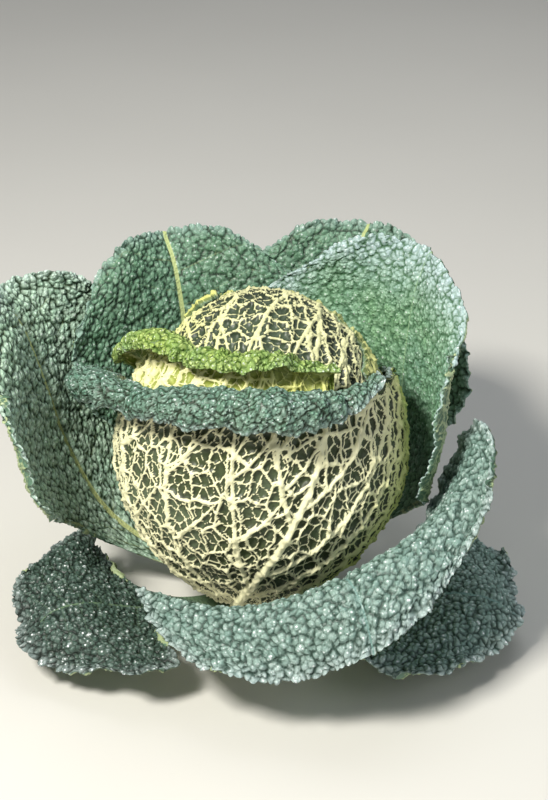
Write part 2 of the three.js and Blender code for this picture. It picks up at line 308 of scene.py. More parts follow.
def scatter(points, gap, rng):
    """Some of the points, in random order, with at least the gap between any two."""
    kept = []
    taken = {}
    for index in rng.permutation(len(points)):
        point = points[index]
        x, y, z = (int(c // gap) for c in point)
        close = (
            other
            for i in (x - 1, x, x + 1) for j in (y - 1, y, y + 1) for k in (z - 1, z, z + 1)
            for other in taken.get((i, j, k), ())
        )
        if all(sum((a - b) ** 2 for a, b in zip(point, other)) > gap * gap for other in close):
            taken.setdefault((x, y, z), []).append(point)
            kept.append(point)
    return np.array(kept)


def cells(points, gap, seed):
    """For each point, its distance to the border of its cell, and its cell's own number from 0 to 1."""
    rng = np.random.default_rng(seed)
    flat = points.reshape(-1, 3)
    seeds = scatter(flat[rng.permutation(len(flat))[::2]].tolist(), gap, rng)
    tree = tree_of(seeds)
    found = [tree.find_n(point, 4) for point in flat]
    near = np.array([[hit[1] for hit in hits] for hits in found])
    far = np.array([[hit[2] for hit in hits] for hits in found])
    between = np.linalg.norm(seeds[near[:, 1:]] - seeds[near[:, :1]], axis=2)
    border = ((far[:, 1:] ** 2 - far[:, :1] ** 2) / (2 * between)).min(axis=1)
    tone = rng.random(len(seeds))[near[:, 0]]
    shape = points.shape[:-1]
    return border.reshape(shape), tone.reshape(shape)


class Veins:
    """Vein paths on a sheet: each is a line of (u, v) points that thins from one half-width to another."""

    def __init__(self, sheet):
        self.sheet = sheet
        self.places = []
        self.widths = []

    def add(self, u, v, start, end, taper=1):
        places = self.sheet.point_at(u, v)
        self.places.append(places)
        self.widths.append(lerp(start, end, np.linspace(0, 1, len(places)) ** taper))

    def measure(self):
        """Distance to the nearest vein, and that vein's half-width there."""
        tree = tree_of(np.concatenate(self.places))
        index, distance = nearest(tree, self.sheet.middle.reshape(-1, 3))
        width = np.concatenate(self.widths)[index]
        return distance.reshape(self.sheet.shape), width.reshape(self.sheet.shape)


def ridge(distance, half_width):
    """A rounded ridge's height, as a share, over a vein."""
    return np.maximum(0, 1 - (distance / half_width) ** 2)


def dome(border, wall):
    """How far a cell swells, from 0 at its border to 1 in its middle; wall is how wide its side is."""
    return 1 - np.exp(-np.maximum(border, 0) / wall)


# Closed leaf meshes

def strip(lower, upper):
    """Triangles between two lines of points that needn't have equally many."""
    faces = []
    last_lower = len(lower) - 1
    last_upper = len(upper) - 1
    i = j = 0
    while i < last_lower or j < last_upper:
        lower_is_next = i < last_lower and (i + 1) * last_upper <= (j + 1) * last_lower
        if j == last_upper or lower_is_next:
            faces.append((lower[i], lower[i + 1], upper[j]))
            i += 1
        else:
            faces.append((lower[i], upper[j + 1], upper[j]))
            j += 1
    return faces


def surface(lines, flip):
    """Faces over lines of point numbers, one line above the other."""
    faces = []
    for lower, upper in zip(lines[:-1], lines[1:]):
        if len(lower) == len(upper):
            faces.extend(zip(lower[:-1], lower[1:], upper[1:], upper[:-1]))
        else:
            faces.extend(strip(lower, upper))
    return [face[::-1] for face in faces] if flip else faces


def leaf_faces(sheet, back_lines, front_lines):
    """Faces of a closed blade. Each line is (row, step), with a point at every step-th column."""
    rows, columns = sheet.shape

    def numbers(lines, start):
        result = []
        for row, step in lines:
            picked = list(range(0, columns, step))
            if picked[-1] != columns - 1:
                picked.append(columns - 1)
            result.append([start + row * columns + column for column in picked])
        return result

    back = numbers(back_lines, 0)
    front = numbers(front_lines, rows * columns)
    faces = surface(back, False) + surface(front, True)
    faces += strip(front[0], back[0])
    faces += strip(back[-1], front[-1])
    faces += strip([line[0] for line in back], [line[0] for line in front])
    faces += strip([line[-1] for line in front], [line[-1] for line in back])
    return faces


def lines_of(rows, step):
    picked = list(rows[::step])
    if picked[-1] != rows[-1]:
        picked.append(rows[-1])
    return [(row, step) for row in picked]


def make_piece(name, points, faces, values, material):
    """A mesh piece in metres, made of the points that its faces use, with named values at each point."""
    used = np.unique(np.concatenate([np.array(face) for face in faces]))
    number = np.zeros(len(points), int)
    number[used] = np.arange(len(used))
    mesh = bpy.data.meshes.new(name)
    mesh.from_pydata(points[used] * MM, [], [tuple(number[list(face)]) for face in faces])
    for key, value in values.items():
        layer = mesh.attributes.new(key, "FLOAT", "POINT")
        layer.data.foreach_set("value", value[used].astype(np.float32))
    mesh.polygons.foreach_set("use_smooth", np.ones(len(mesh.polygons), bool))
    mesh.materials.append(material)
    piece = bpy.data.objects.new(name, mesh)
    bpy.context.scene.collection.objects.link(piece)
    return piece


def stand_for(piece, node):
    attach(piece, "root")
    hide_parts(node)


# Materials

def colour(code):
    """A linear colour from a six-digit display colour."""
    parts = [int(code[i:i + 2], 16) / 255 for i in (0, 2, 4)]
    return tuple(p / 12.92 if p < 0.04045 else ((p + 0.055) / 1.055) ** 2.4 for p in parts) + (1,)


class Shader:
    """A material's node tree, with short calls for the nodes that leaves need."""

    def __init__(self, name):
        self.material = bpy.data.materials.new(name)
        self.material.use_nodes = True
        self.tree = self.material.node_tree
        self.bsdf = self.tree.nodes["Principled BSDF"]

    def put(self, socket, value):
        if isinstance(value, bpy.types.NodeSocket):
            self.tree.links.new(value, socket)
        else:
            socket.default_value = value

    def attribute(self, name):
        node = self.tree.nodes.new("ShaderNodeAttribute")
        node.attribute_name = name
        return node.outputs["Fac"]

    def place(self):
        return self.tree.nodes.new("ShaderNodeTexCoord").outputs["Object"]

    def noise(self, scale, detail=3):
        node = self.tree.nodes.new("ShaderNodeTexNoise")
        self.put(node.inputs["Vector"], self.place())
        node.inputs["Scale"].default_value = scale
        node.inputs["Detail"].default_value = detail
        return node.outputs["Fac"]

    def speckle(self, scale):
        node = self.tree.nodes.new("ShaderNodeTexVoronoi")
        self.put(node.inputs["Vector"], self.place())
        node.inputs["Scale"].default_value = scale
        return node.outputs["Distance"]

    def range(self, value, low, high, to_low=0.0, to_high=1.0):
        node = self.tree.nodes.new("ShaderNodeMapRange")
        node.interpolation_type = "SMOOTHSTEP"
        for socket, number in zip(node.inputs[1:5], (low, high, to_low, to_high)):
            socket.default_value = number
        self.put(node.inputs["Value"], value)
        return node.outputs["Result"]

    def multiply(self, first, second):
        node = self.tree.nodes.new("ShaderNodeMath")
        node.operation = "MULTIPLY"
        self.put(node.inputs[0], first)
        self.put(node.inputs[1], second)
        return node.outputs[0]

    def mix(self, share, first, second):
        node = self.tree.nodes.new("ShaderNodeMix")
        node.data_type = "RGBA"
        self.put(node.inputs["Factor"], share)
        self.put(node.inputs[6], first)
        self.put(node.inputs[7], second)
        return node.outputs[2]

    def bump(self, height, strength, depth, under=None):
        node = self.tree.nodes.new("ShaderNodeBump")
        node.inputs["Strength"].default_value = strength
        node.inputs["Distance"].default_value = depth
        self.put(node.inputs["Height"], height)
        if under is not None:
            self.put(node.inputs["Normal"], under)
        return node.outputs["Normal"]


BEAD_RATE = 430
GLINT_RATE = 400
BEAD_DEPTH = 0.0012
GRAIN_DEPTH = 0.0004


def leaf_material(name, look):
    """A leaf with raised pale veins on its back, and blisters with a waxy bloom on its face, with painted shade
    in the hollows and grooves and painted highlights and glints on the crests.
    """
    s = Shader(name)
    vein = s.attribute("vein")
    swell = s.attribute("swell")
    tone = s.attribute("tone")
    edge = s.attribute("edge")
    face = s.attribute("face")
    right_side_share = s.attribute("right_side_share")
    patches = s.noise(22)
    grain = s.noise(420, 4)
    floor = s.mix(s.range(patches, 0.3, 0.7), colour(look["floor"]), colour(look["floor_two"]))
    floor = s.mix(s.range(grain, 0.35, 0.8, 0, 0.5), floor, colour(look["fleck_and_hollow_shade"]))
    # Painted shade: the colour darkens from the cell middle towards the vein feet, where the hollows would be in
    # shade.
    painted_hollow_shade = s.mix(s.range(swell, 0.15, 0.85), colour(look["fleck_and_hollow_shade"]), floor)
    # The veins shift to a darker, yellower colour towards the leaf's right side.
    net = s.mix(right_side_share, colour(look["vein"]), colour(look["vein_two"]))
    back = s.mix(s.range(vein, 0.35, 0.7), painted_hollow_shade, net)
    blister = s.mix(s.range(patches, 0.3, 0.7), colour(look["blister"]), colour(look["blister_two"]))
    blister = s.mix(s.range(tone, 0, 1, 0, 0.45), blister, colour(look["light"]))
    # Frost colour towards the margin, and on the crest of a rolled rim as painted highlight.
    blister = s.mix(s.range(edge, 0.25, 0.9, 0, look["frosting"]), blister, colour(look["frost_and_highlight"]))
    beads = s.range(s.speckle(BEAD_RATE), 0.15, 0.6, 1, 0)
    # Painted shade in the fine grooves between the shader's beads.
    blister = s.mix(s.range(beads, 0, 0.55, 0.5 * look["beading"], 0), blister, colour(look["groove_shade"]))
    # Painted shade: the blister colour darkens down the cell walls into the grooves.
    blister = s.mix(s.range(swell, *look["shaded_walls"]), colour(look["groove_shade"]), blister)
    # The blister crests take the frost colour, partly the waxy bloom and partly painted highlight.
    bloom = s.multiply(s.range(swell, 0.6, 0.95), s.range(grain, 0.5, 0.75, 0, look["bloom"]))
    blister = s.mix(bloom, blister, colour(look["frost_and_highlight"]))
    # Painted glints: small near-white spots on the blister crests.
    glint_spots = s.range(s.speckle(GLINT_RATE), 0.2, 0.34, 1, 0)
    painted_glint = s.multiply(glint_spots, s.range(swell, 0.55, 0.9, 0, look["painted_glint"]))
    blister = s.mix(painted_glint, blister, colour("f4f8fa"))
    front = s.mix(s.range(vein, 0.3, 0.8), blister, colour(look["front_vein"]))
    s.put(s.bsdf.inputs["Base Color"], s.mix(face, back, front))
    s.put(s.bsdf.inputs["Roughness"], s.range(grain, 0.3, 0.75, look["gloss"], look["gloss"] + 0.22))
    s.bsdf.inputs["Specular IOR Level"].default_value = 0.5
    rough = s.bump(s.noise(900, 3), 0.35, GRAIN_DEPTH)
    beaded = s.bump(s.multiply(beads, face), look["beading"], BEAD_DEPTH, rough)
    s.put(s.bsdf.inputs["Normal"], beaded)
    return s.material


# Each look holds painted shade colours for the cell hollows and the grooves, a frost colour that also serves as
# painted highlight, and the strength of the painted glints.
NET_LOOK = dict(
    vein="f2efc4", vein_two="dadd86", fleck_and_hollow_shade="131907", floor="38441f", floor_two="58664c",
    blister="6f9b86", blister_two="7fa88e", light="b8d2c4", groove_shade="182a14", frost_and_highlight="d0dee6",
    front_vein="9fb089", shaded_walls=(0.2, 0.75), beading=0.35, frosting=0.5, bloom=0.5, painted_glint=0.8, gloss=0.38)
LOOKS = {
    "front_wrapper_leaf": NET_LOOK | dict(shaded_walls=(0.2, 0.78), beading=0.85, frosting=0.75, painted_glint=1.0),
    "left_wrapper_leaf": NET_LOOK | dict(
        vein="f4f0b8", fleck_and_hollow_shade="566420", floor="a2ae50", floor_two="b8bf6c",
        blister="aaca60", blister_two="9ec27a", light="dcea8c", groove_shade="405e16", frost_and_highlight="b7cfa4",
        front_vein="c9d488", shaded_walls=(0.2, 0.78), beading=0.95, frosting=0.35, bloom=0.3, painted_glint=0.6),
    "right_wrapper_leaf": NET_LOOK | dict(vein="c2c480", fleck_and_hollow_shade="46542a", floor="77864e", floor_two="88965e"),
    "crown_leaf": NET_LOOK | dict(vein="dbdaa8", fleck_and_hollow_shade="10180a", floor="2b3924", floor_two="42523c"),
    "outer_leaf_back_right": NET_LOOK | dict(
        vein="b9c79a", vein_two="b9c79a", fleck_and_hollow_shade="47624a", floor="6f8f74", floor_two="809d84",
        blister="86b284", blister_two="84ae9a", light="aacdb0", groove_shade="466c4e", frost_and_highlight="c4d8de",
        front_vein="8fb08a", beading=0.5, frosting=0.85, bloom=0.5, painted_glint=0.8),
    "outer_leaf_back_left": NET_LOOK | dict(
        vein="a9b98a", vein_two="a9b98a", fleck_and_hollow_shade="38543f", floor="5c7c66", floor_two="6a8a76",
        blister="628a6c", blister_two="6a9478", light="8eb098", groove_shade="223a28", frost_and_highlight="a9c0bd",
        front_vein="b3bf82", frosting=0.4, bloom=0.4, painted_glint=0.6),
    # The left leaf's face colours are lighter, as painted light for a face turned away from the key light.
    "outer_leaf_left": NET_LOOK | dict(
        vein="a9b98a", vein_two="a9b98a", fleck_and_hollow_shade="38543f", floor="5c7c66", floor_two="6a8a76",
        blister="aed0b4", blister_two="b4d6c0", light="d6ead8", groove_shade="22391f", frost_and_highlight="d4e4e2",
        front_vein="c3cb8c", shaded_walls=(0.22, 0.8), beading=0.45, frosting=0.4, bloom=0.45, painted_glint=0.7),
    "outer_leaf_front_right": NET_LOOK | dict(
        vein="a9b98a", vein_two="a9b98a", fleck_and_hollow_shade="38543f", floor="5c7c66", floor_two="6a8a76",
        blister="7f9e94", blister_two="88a79c", light="aec6bc", groove_shade="2e463c", frost_and_highlight="dce6ea",
        front_vein="6d8f88", shaded_walls=(0.22, 0.79), beading=0.45, frosting=0.35, bloom=0.7, painted_glint=1.0),
}
LOOKS["outer_leaf_right"] = LOOKS["outer_leaf_front_right"]
LOOKS["outer_leaf_back"] = LOOKS["outer_leaf_back_left"]
# The front-left leaf takes a darker copy of the front-right look.
LOOKS["outer_leaf_front_left"] = LOOKS["outer_leaf_front_right"] | dict(
    blister="425b50", blister_two="4a6458", light="6a8177", groove_shade="14221a", front_vein="667f62", frosting=0.2)


# The head's leaves

NET_SHAPE = np.array([1, 1, 0.72])
HEAD_BLADE = 1.0
ROLL_CELL = 2.8
HEAD_SHIFT = 2.0
HEAD_RELIEF = (1.2, 2.2, 1.4)  # between the side veins, in the large cells and in the small ones
ROLL_RELIEF = (0.3, 0.8, 1.5)
HEAD_CELLS = (12, 4.4)  # how far apart the middles of the large and the small cells are
HEAD_VEIN_RISE = (2.0, 1.2, 0.6)  # side veins, large cells' borders, small cells' borders
FINE_VEIN_WIDTH = 0.66
RIB_THINNING = 0.42
COVER_EDGE = (0.035, 0.06)
ROLL_WRINKLE = 2.3
ROLL_FRILL = 2.2
ROLL_REACH = 2.5
ROLL_GAP = 0.8  # keeps the hidden side of a roll clear of its face
ROLL_FADE = 9

# Side veins of the outermost leaf: where they leave the midrib, where across they end, and their bend
FRONT_WRAPPER_VEINS = (
    (0.36, -0.33, 0.75), (0.2, -0.54, 0.42), (0.12, -0.78, 0.32), (0.07, -0.97, 0.3), (0.66, -0.2, 0.8),
    (0.44, 0.48, 0.55), (0.72, 0.3, 0.7), (0.1, 0.88, 0.35), (0.28, 0.66, 0.45),
)
PLAIN_VEINS = (
    (0.08, -0.95, 0.35), (0.16, -0.74, 0.4), (0.3, -0.52, 0.5), (0.48, -0.34, 0.6), (0.66, -0.2, 0.8),
    (0.1, 0.97, 0.35), (0.2, 0.8, 0.4), (0.34, 0.6, 0.5), (0.52, 0.4, 0.6), (0.7, 0.24, 0.8),
)
CROWN_VEINS = (
    (0.2, -0.9, 0.5), (0.34, -0.7, 0.6), (0.48, -0.5, 0.7), (0.62, -0.36, 0.8), (0.76, -0.24, 0.9),
    (0.24, 0.95, 0.5), (0.38, 0.74, 0.6), (0.5, 0.54, 0.7), (0.6, 0.36, 0.8), (0.74, 0.2, 0.9),
)
HEAD_SKINS = {
    "front_wrapper_leaf": dict(
        veins=FRONT_WRAPPER_VEINS, rib=(7, 1.2), rib_height=(5, 1.2), net=(0.95, 0.84), seed=11, side=(2.0, 1.0),
        rows=(4, 172, 70), shown=0.03, columns=371),
    "left_wrapper_leaf": dict(
        veins=PLAIN_VEINS, rib=(5, 1.4), rib_height=(2, 0.8), net=(0.95, 0.85), seed=23, side=(2.0, 1.0),
        rows=(36, 104, 58), shown=0.62, columns=301),
    "right_wrapper_leaf": dict(
        veins=PLAIN_VEINS, rib=(5, 1.4), rib_height=(1.6, 0.8), net=(0.95, 0.85), seed=37, side=(2.0, 1.0),
        rows=(36, 110, 0), shown=0.45, columns=241),
    "crown_leaf": dict(
        veins=CROWN_VEINS, rib=(4, 2), rib_height=(1.6, 1.6), net=(0.72, 0.74), seed=41, side=(1.5, 0.8),
        rows=(30, 176, 0), shown=0.56, columns=301),
}


def add_side_veins(veins, table, climb_end, tail, width, rng):
    """Side veins from the midrib to the rim and over it, with branches off them."""
    steps = np.linspace(0, 1, 160)
    for start, end, bend in table:
        u = end * steps ** bend
        v = climb_end * lerp(start, 1, steps)
        over = np.linspace(climb_end, tail, 40)
        veins.add(np.append(u, np.full(40, end)), np.append(v, over), *width)
        side = 1
        for share in np.arange(0.22, 0.9, 0.17) + rng.uniform(-0.04, 0.04):
            side = -side
            short = np.linspace(0, 1, 60)
            from_u = end * share ** bend
            from_v = climb_end * lerp(start, 1, share)
            branch_u = from_u + side * 0.1 * short ** 0.7
            branch_v = np.minimum(from_v + 0.2 * climb_end * short, climb_end)
            veins.add(branch_u, branch_v, 1.3, 0.8)


def bare_share(directions, covers):
    """How bare a surface lies, from 0 under another leaf to 1 clear of it."""
    if not covers:
        return np.ones(directions.shape[:-1])
    tree = tree_of(np.concatenate(covers))
    distance = nearest(tree, directions.reshape(-1, 3))[1]
    return smooth(distance.reshape(directions.shape[:-1]), *COVER_EDGE)


def make_head_leaf(name, covers):
    leaf = HEAD_LEAVES[name]
    skin = HEAD_SKINS[name]
    rng = np.random.default_rng(skin["seed"])
    rolls = leaf["roll"] is not None
    climb_end = CLIMB_SHARE if rolls else 1
    shown = skin["shown"] * climb_end
    hidden_rows, shown_rows, roll_rows = skin["rows"]
    climb_rows = hidden_rows + shown_rows
    rows = np.linspace(0, shown, hidden_rows + 1)
    rows = np.append(rows, np.linspace(shown, climb_end, shown_rows + 1)[1:])
    if rolls:
        rows = np.append(rows, np.linspace(climb_end, 1, roll_rows + 1)[1:])
    sheet = Sheet(lambda u, v: head_leaf_point(leaf, u, v), rows, np.linspace(-1, 1, skin["columns"]))
    directions = unit(sheet.middle - CENTRE)
    bare = bare_share(directions, covers)
    rolled = smooth(sheet.v, climb_end * 0.985, climb_end) if rolls else np.zeros(sheet.shape)
    bare = np.maximum(bare, rolled)
    covers.append(directions[:climb_rows:4, ::4].reshape(-1, 3))

    veins = Veins(sheet)
    add_side_veins(veins, skin["veins"], climb_end, 1, skin["side"], rng)
    side_distance, side_width = veins.measure()
    middle_vein = Veins(sheet)
    line = np.linspace(0, 1, 300)
    middle_vein.add(np.zeros(300), line, *skin["rib"], RIB_THINNING)
    rib_distance, rib_width = middle_vein.measure()

    wobble = stack(*(1.6 * noise(sheet.s / 7 + 9, sheet.t / 7, skin["seed"] + k) for k in (1, 2, 3)))
    wobble += stack(*(0.5 * noise(sheet.s / 2.4 + 9, sheet.t / 2.4, skin["seed"] + k) for k in (4, 5, 6)))
    net = (sheet.middle + wobble) * NET_SHAPE
    large_border = cells(net, HEAD_CELLS[0], skin["seed"] + 7)[0]
    small_border, small_tone = cells(net, HEAD_CELLS[1], skin["seed"] + 8)
    if rolls:
        roll_border, roll_tone = cells(net[climb_rows:], ROLL_CELL, skin["seed"] + 9)
        over = smooth(sheet.v[climb_rows:], climb_end, climb_end + 0.03)
        small_border[climb_rows:] = lerp(small_border[climb_rows:], roll_border, over)
        small_tone[climb_rows:] = lerp(small_tone[climb_rows:], roll_tone, over)

    clear_of_veins = np.minimum(side_distance - 0.5 * side_width, rib_distance - 0.7 * rib_width)
    swell = (dome(clear_of_veins, 5), dome(large_border, 1.8), dome(small_border, lerp(0.9, 0.7, rolled)))
    relief = [lerp(flat, curled, rolled) for flat, curled in zip(HEAD_RELIEF, ROLL_RELIEF)]
    depth = sum(share * part for share, part in zip(relief, swell))
    lift = bare * (HEAD_SHIFT * (1 - rolled) - depth)
    rib = lerp(*skin["rib_height"], np.clip(sheet.v / climb_end, 0, 1)) * ridge(rib_distance, rib_width)
    side_rise, large_rise, small_rise = HEAD_VEIN_RISE
    side = side_rise * ridge(side_distance, side_width)
    large = large_rise * ridge(large_border, 1.0)
    small = small_rise * ridge(small_border, 0.8) * smooth(large_border, 0.6, 1.6)
    raised = np.maximum.reduce([rib, side, large, small]) * lerp(0.3, 1, bare) * (1 - 0.8 * rolled)

    edge = np.exp(-sheet.to_tip / ROLL_FADE) * rolled
    # The crest of a rolled rim, which the face colour lightens as painted highlight.
    top = rolled * (1 - smooth(sheet.v, climb_end + 0.06, climb_end + 0.16))
    wrinkle = ROLL_WRINKLE * rolled * noise(sheet.s / 5 + 9, sheet.t / 18, skin["seed"] + 12)
    frill = ROLL_FRILL * edge * noise(sheet.s / 8 + 9, sheet.t / 12, skin["seed"] + 13)
    reach = ROLL_REACH * edge * noise(sheet.s / 6 + 9, sheet.t / 12, skin["seed"] + 14)
    middle = sheet.middle + sheet.along * reach[..., None]
    deepest = bare * (HEAD_SHIFT - sum(HEAD_RELIEF))
    behind = lerp(deepest, lift, rolled) + wrinkle + frill
    ahead = lerp(lift, ROLL_GAP * (1 - edge), rolled) + wrinkle + frill + raised
    back = middle + sheet.normal * (ahead + HEAD_BLADE / 2)[..., None]
    front = middle + sheet.normal * (behind - HEAD_BLADE / 2)[..., None]
    points = np.concatenate([back.reshape(-1, 3), front.reshape(-1, 3)])

    strong = np.maximum(ridge(rib_distance, rib_width * 1.1), ridge(side_distance, side_width * 1.15))
    coarse_width, fine_share = skin["net"]
    fine = fine_share * ridge(small_border, FINE_VEIN_WIDTH)
    vein = np.maximum.reduce([strong, ridge(large_border, coarse_width), fine])
    swelling = lerp(swell[1], swell[2], lerp(0.5, 0.8, rolled))
    half = back.size // 3
    values = dict(
        vein=np.append(vein, 0.35 * strong),
        # Painted shade: on the back, the swell value is halved where another leaf covers it, darkening the
        # colour under its rim.
        swell=np.append(swelling * lerp(0.5, 1, bare), swelling),
        tone=np.append(small_tone, small_tone),
        # On the face, the crest of the roll takes the frost colour as painted highlight.
        edge=np.append(edge, np.maximum(0.6 * edge, 0.85 * top)),
        face=np.append(np.zeros(half), np.ones(half)),
        right_side_share=np.append(smooth(sheet.u, 0.2, 0.9), smooth(sheet.u, 0.2, 0.9)),
    )
    climb_numbers = range(climb_rows + 1)
    roll_numbers = range(climb_rows, climb_rows + roll_rows + 1)
    back_lines = lines_of(climb_numbers, 1)
    front_lines = lines_of(climb_numbers, 4)
    if rolls:
        back_lines += lines_of(roll_numbers, 4)[1:]
        front_lines = front_lines[:-1] + lines_of(roll_numbers, 1)
    faces = leaf_faces(sheet, back_lines, front_lines)
    piece = make_piece(name + "_fine", points, faces, values, leaf_material(name, LOOKS[name]))
    stand_for(piece, name)


# The loose leaves

OUTER_BLADE = 0.9
OUTER_GRID = (207, 207)
WIDE_GRID = (184, 265)
OUTER_VEIN_RISE = (1.6, 0.8, 0.4)  # side veins, large cells' borders, small cells' borders
BEAD_RISE = 0.35
MARGIN_FADE = 8
OUTER_SKINS = {
    "outer_leaf_back_right": dict(large=9, small=3.3, relief=(0.6, 1.3, 1.2), frill=2.4,
        face_rib=0.12, bloom=42, seed=101, grid=OUTER_GRID),
    "outer_leaf_back_left": dict(large=10, small=3.6, relief=(0.8, 1.6, 1.3), frill=2.6,
        face_rib=0.3, bloom=10, seed=113, grid=OUTER_GRID),
    "outer_leaf_left": dict(large=10, small=3.8, relief=(0.8, 1.6, 1.4), frill=2.6,
        face_rib=0.3, bloom=10, seed=127, grid=OUTER_GRID),
    "outer_leaf_front_right": dict(large=9, small=3.5, relief=(0.6, 2.0, 1.3), frill=2.6,
        face_rib=0.14, bloom=16, seed=139, grid=WIDE_GRID),
    "outer_leaf_right": dict(large=9, small=3.4, relief=(0.8, 1.8, 1.3), frill=2.6,
        face_rib=0.2, bloom=12, seed=149, grid=OUTER_GRID),
    "outer_leaf_back": dict(large=10, small=3.6, relief=(0.8, 1.6, 1.3), frill=2.6,
        face_rib=0.3, bloom=10, seed=151, grid=OUTER_GRID),
    "outer_leaf_front_left": dict(large=9, small=3.2, relief=(0.8, 1.8, 1.3), frill=2.6,
        face_rib=0.2, bloom=12, seed=163, grid=OUTER_GRID),
}


def add_outer_veins(veins, rng):
    """Side veins of a loose leaf, in pairs along its midrib, with branches."""
    steps = np.linspace(0, 1, 140)
    for side in (-1, 1):
        for start in np.arange(0.16, 0.9, 0.095) + 0.02 * side:
            rise = 0.17 + 0.08 * rng.random()
            u = side * 0.97 * steps
            v = np.minimum(start + rise * steps ** 1.4, 0.995)
            veins.add(u, v, 1.7, 0.5)
            for share in (0.35, 0.6):
                short = np.linspace(0, 1, 60)
                branch_u = side * 0.97 * (share + 0.3 * short)
                bend = rng.choice((-1, 1)) * 0.07 * short ** 0.8
                branch_v = start + rise * share ** 1.4 + bend + 0.04 * short
                veins.add(branch_u, np.clip(branch_v, 0.1, 0.995), 0.9, 0.4)


def make_outer_leaf(name):
    leaf = OUTER_LEAVES[name]
    skin = OUTER_SKINS[name]
    seed = skin["seed"]
    rng = np.random.default_rng(seed)
    rows, columns = skin["grid"]
    sheet = Sheet(
        lambda u, v: outer_leaf_point(leaf, u, v), np.linspace(0, 1, rows), np.linspace(-1, 1, columns))
    blade = smooth(sheet.v, 0.1, 0.34)

    veins = Veins(sheet)
    add_outer_veins(veins, rng)
    side_distance, side_width = veins.measure()
    rib_width = PETIOLE_HALF_WIDTH * (1 - RIB_NARROWING * sheet.v)
    rib_distance = np.abs(sheet.s)

    wobble = stack(*(1.5 * noise(sheet.s / 7 + 40, sheet.t / 7, seed + k) for k in (1, 2, 3)))
    net = sheet.middle + wobble
    large_border = cells(net, skin["large"], seed + 7)[0]
    small_border, small_tone = cells(net, skin["small"], seed + 8)

    face_rib = skin["face_rib"] * rib_width
    clear_of_veins = np.minimum(side_distance - 0.4 * side_width, rib_distance - face_rib)
    swell = (dome(clear_of_veins, 4), dome(large_border, 2), dome(small_border, 0.8))
    on_blade = blade * smooth(rib_distance, face_rib, face_rib + 3)
    depth = sum(share * part for share, part in zip(skin["relief"], swell)) * on_blade
    lift = (sum(skin["relief"]) / 2 - depth) * blade

    margin = np.minimum.reduce([sheet.from_left, sheet.from_right, sheet.to_tip])
    edge = np.exp(-margin / MARGIN_FADE) * blade
    bloom = np.exp(-margin / skin["bloom"]) * blade
    frill = skin["frill"] * edge * noise(sheet.s / 9 + 40, sheet.t / 9, seed + 9)
    frill += 0.5 * skin["frill"] * edge * noise(sheet.s / 4 + 40, sheet.t / 4, seed + 10)
    scallop = edge * (1.6 * swell[2] + 1.6 * noise(sheet.s / 6 + 40, sheet.t / 6, seed + 11))
    to_side = np.minimum(sheet.from_left, sheet.from_right)
    sideways = scallop * np.exp(-to_side / MARGIN_FADE) * np.sign(sheet.u)
    tipwards = scallop * np.exp(-sheet.to_tip / MARGIN_FADE)
    middle = sheet.middle + sheet.across * sideways[..., None] + sheet.along * tipwards[..., None]

    rib = PETIOLE_HEIGHT * (1 - RIB_TAPER * sheet.v) * ridge(rib_distance, rib_width)
    side_rise, large_rise, small_rise = OUTER_VEIN_RISE
    side = side_rise * ridge(side_distance, side_width)
    large = large_rise * ridge(large_border, 1.2)
    small = small_rise * ridge(small_border, 0.9)
    raised = np.maximum(rib, np.maximum.reduce([side, large, small]) * blade)
    out = (lift + frill)[..., None]
    back = middle + sheet.normal * (out + OUTER_BLADE / 2 + raised[..., None])
    bead = BEAD_RISE * swell[2] * on_blade
    front = middle + sheet.normal * (out - (OUTER_BLADE / 2 + bead)[..., None])
    points = np.concatenate([back.reshape(-1, 3), front.reshape(-1, 3)])

    rib_mask = 1 - smooth(rib_distance, 0.7 * rib_width, 1.05 * rib_width)
    face_mask = 1 - smooth(rib_distance, 0.8 * face_rib, 1.3 * face_rib + 0.4)
    bare_stalk = 1 - smooth(sheet.v, 0.06, 0.2)
    strong = np.maximum(rib_mask, ridge(side_distance, side_width * 1.1))
    back_vein = np.maximum.reduce([strong, 0.8 * ridge(large_border, 1.2), 0.6 * ridge(small_border, 0.9)])
    front_vein = np.maximum(face_mask, 0.5 * ridge(side_distance, side_width * 0.8))
    swelling = 0.4 * swell[1] + 0.6 * swell[2]
    half = back.size // 3
    right_side_share = np.zeros(sheet.shape)
    values = dict(
        vein=np.append(np.maximum(back_vein, bare_stalk), np.maximum(front_vein, bare_stalk)),
        swell=np.append(swelling, swelling),
        tone=np.append(small_tone, small_tone),
        edge=np.append(bloom, bloom),
        face=np.append(np.zeros(half), np.ones(half)),
        right_side_share=np.append(right_side_share, right_side_share),
    )
    numbers = range(rows)
    faces = leaf_faces(sheet, lines_of(numbers, 1), lines_of(numbers, 1))
    piece = make_piece(name + "_fine", points, faces, values, leaf_material(name, LOOKS[name]))
    stand_for(piece, name)


# The heart and the stem

HEART_SIDES = 160
HEART_RINGS = 90
STEM_SIDES = 144


def ring_faces(rings, sides, low, high):
    """Faces of a closed round body: rings of points, with one point below them and one above."""
    faces = []
    for ring in range(rings - 1):
        for side in range(sides):
            after = (side + 1) % sides
            here = ring * sides
            faces.append((here + side, here + after, here + sides + after, here + sides + side))
    top = (rings - 1) * sides
    for side in range(sides):
        after = (side + 1) % sides
        faces.append((low, after, side))
        faces.append((high, top + side, top + after))
    return faces


